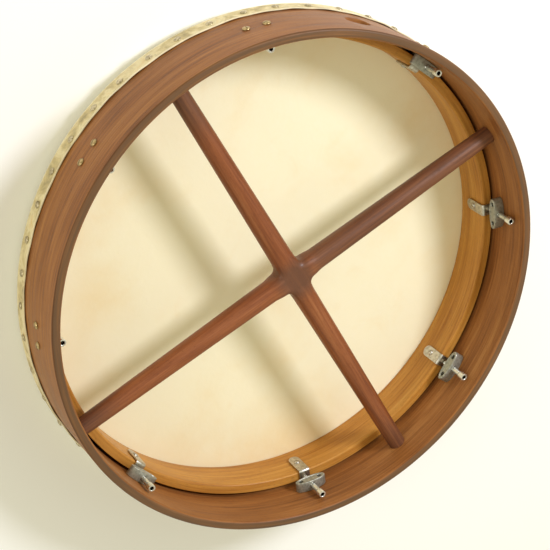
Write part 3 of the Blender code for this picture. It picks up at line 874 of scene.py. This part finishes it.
def bracket_mesh():
    """Steel strip bent to an L, with a round leg end, eased edges and a hole for its screw."""
    half, length, corner, ease = BRACKET_WIDTH / 2, bracket_length(), 0.0022, 0.00028
    stations = [half * (1 - math.cos(math.pi / 2 * step / 14)) for step in range(1, 15)]
    leg = BRACKET_FOOT_LOW - BRACKET_BEND - BRACKET_LEG_Z
    bend = (BRACKET_BEND + BRACKET_SHEET / 2) * math.pi / 2
    stations += [leg * 0.5, leg * 0.8] + [leg + bend * step / 10 for step in range(11)]
    stations += [length - corner * 2] + [
        length - corner * (1 - math.sin(math.pi / 2 * step / 8)) for step in range(9)
    ]
    sections = []
    for distance in stations:
        width = half
        if distance < half:
            width = math.sqrt(max(half**2 - (half - distance) ** 2, 1e-8))
        if distance > length - corner:
            beyond = distance - (length - corner)
            width = half - corner + math.sqrt(max(corner**2 - beyond**2, 1e-10))
        x, z, lean = bracket_path(distance)
        easing = min(ease, width * 0.4)
        thick = BRACKET_SHEET / 2
        section = []
        for side, depth in ((-1, -1), (1, -1), (1, 1), (-1, 1)):
            across = [
                (width - easing, thick),
                (width - easing * 0.3, thick - easing * 0.3),
                (width, thick - easing),
            ]
            if side * depth > 0:
                across.reverse()
            for y, off in across:
                section.append((x + depth * off * math.cos(lean), side * y, z - depth * off * math.sin(lean)))
        sections.append(section)
    strip = lofted("bracket", sections)
    hole_x = BRACKET_LEG_OUT - BRACKET_SHEET
    hole = rod_x("hole", [(0.0020, hole_x - 0.003), (0.0020, BRACKET_LEG_OUT + 0.003)], 40)
    return combined(strip, moved(hole, Matrix.Translation((0, 0, BRACKET_SCREW_Z))), "DIFFERENCE", 30)


def screw_mesh(name, head, crown, tip, seat, shank):
    """A slotted dome-headed wood screw along X; its head stands beyond the seat."""
    way = 1 if seat > tip else -1
    stations = [(shank * 0.15, tip), (shank * 0.75, tip + way * 0.0014), (shank, tip + way * 0.0030)]
    stations += [(shank, seat), (head * 0.97, seat), (head, seat + way * crown * 0.14)]
    for step in range(1, 8):
        turn = math.pi / 2 * step / 8
        stations.append((head * math.cos(turn) ** 0.8, seat + way * crown * (0.14 + 0.86 * math.sin(turn))))
    stations[-1] = (head * 0.16, seat + way * crown * 0.995)
    screw = rod_x(name, stations, 48)
    slot_low = seat + way * crown * 0.45
    slot_high = seat + way * crown * 1.6
    low = (min(slot_low, slot_high), -head * 1.2, -head * 0.11)
    high = (max(slot_low, slot_high), head * 1.2, head * 0.11)
    return combined(screw, box_mesh("slot", low, high), "DIFFERENCE", 30)


def make_tuners(cast, bright, steel, brass):
    dice = random.Random(7)
    lug, bolt, bracket = lug_mesh(), bolt_mesh(), bracket_mesh()
    lug_screw = screw_mesh(
        "lug_screw", head=0.0034, crown=0.0019, tip=-0.0025, seat=HOOP_OUT + 0.00005, shank=0.0017
    )
    leg_face = BRACKET_LEG_OUT - BRACKET_SHEET - 0.00005
    bracket_screw = screw_mesh(
        "bracket_screw", head=0.0029, crown=0.0014, tip=-0.0010, seat=leg_face, shank=0.0016
    )
    for number, place in tuner_places():
        add_piece(
            f"lug_cast_{number}", lug.copy(), cast, "frame", [f"lug_{number}"],
            place @ Matrix.Translation((0, 0, LUG_Z)),
        )
        add_piece(
            f"bolt_{number}_turned", bolt.copy(), bright, f"bolt_{number}", [f"tuning_bolt_{number}"],
            place @ Matrix.Rotation(dice.uniform(0, 6), 4, "Z"),
        )
        add_piece(
            f"bracket_bent_{number}", bracket.copy(), steel, "ring", [f"ring_bracket_{number}"],
            place,
        )
        add_piece(
            f"bracket_screw_slotted_{number}", bracket_screw.copy(), steel, "ring",
            [f"bracket_screw_{number}"],
            place @ Matrix.Translation((0, 0, BRACKET_SCREW_Z)) @ Matrix.Rotation(dice.uniform(0, 3), 4, "X"),
        )
        for letter, side in (("a", -1), ("b", 1)):
            seat = Matrix.Translation((0, side * SCREW_SPACING / 2, LUG_Z))
            add_piece(
                f"lug_screw_slotted_{number}{letter}", lug_screw.copy(), brass, "frame",
                [f"lug_screw_{number}{letter}"],
                place @ seat @ Matrix.Rotation(dice.uniform(0, 3), 4, "X"),
            )


# ---------------------------------------------------------------- The whole


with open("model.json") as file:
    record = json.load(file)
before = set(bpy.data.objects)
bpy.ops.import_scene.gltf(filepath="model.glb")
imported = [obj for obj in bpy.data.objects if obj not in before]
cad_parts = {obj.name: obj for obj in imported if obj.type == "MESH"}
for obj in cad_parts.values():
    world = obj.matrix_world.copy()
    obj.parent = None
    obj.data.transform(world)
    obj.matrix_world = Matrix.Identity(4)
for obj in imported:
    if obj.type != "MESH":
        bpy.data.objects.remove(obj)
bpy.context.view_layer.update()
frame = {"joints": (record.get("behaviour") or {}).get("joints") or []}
bpy.context.scene.view_settings.view_transform = "Standard"
make_camera()
make_lights()
make_floor()

hoop_finish = wood(
    "frame_wood_varnished",
    ((0.150, 0.052, 0.014), (0.240, 0.088, 0.023), (0.325, 0.130, 0.036), (0.415, 0.185, 0.056)),
    bent=True, seed=1.0, specular=0.20, coat=0.0, marks=hoop_back_edge_and_corner_shade,
)
ring_finish = wood(
    "ring_wood_varnished",
    ((0.345, 0.133, 0.019), (0.470, 0.202, 0.034), (0.560, 0.266, 0.051), (0.640, 0.340, 0.080)),
    bent=True, seed=31.0, specular=0.25, coat=0.06,
)
make_hoop(hoop_finish)
make_ring(ring_finish)
make_skin(skin_hide("skin_hide"))
make_tacks(metal(
    "tack_metal", light=(0.66, 0.57, 0.38), dark=(0.24, 0.19, 0.11), roughness=0.30,
    brush=(0.002, 0.002, 0.002), relief=0.00004,
))
make_crossbars(
    bar_wood("bar_wood_over", seed=3.0, darker_arm=0.0),
    bar_wood("bar_wood_under", seed=47.0, darker_arm=0.40),
)
make_tuners(
    metal(
        "cast_metal", light=(0.43, 0.43, 0.375), dark=(0.25, 0.25, 0.21), roughness=0.38,
        brush=(0.004, 0.0005, 0.006), relief=0.00006, metallic=0.65,
    ),
    metal(
        "plated_metal", light=(0.86, 0.86, 0.81), dark=(0.68, 0.67, 0.61), roughness=0.22,
        brush=(0.003, 0.003, 0.0004), relief=0.00001, metallic=0.85, socket_shade=True,
    ),
    metal(
        "strip_steel", light=(0.70, 0.68, 0.62), dark=(0.46, 0.43, 0.37), roughness=0.34,
        brush=(0.003, 0.0004, 0.006), relief=0.00004,
    ),
    metal(
        "screw_brass", light=(0.56, 0.42, 0.21), dark=(0.30, 0.21, 0.10), roughness=0.32,
        brush=(0.001, 0.001, 0.001), relief=0.00002,
    ),
)
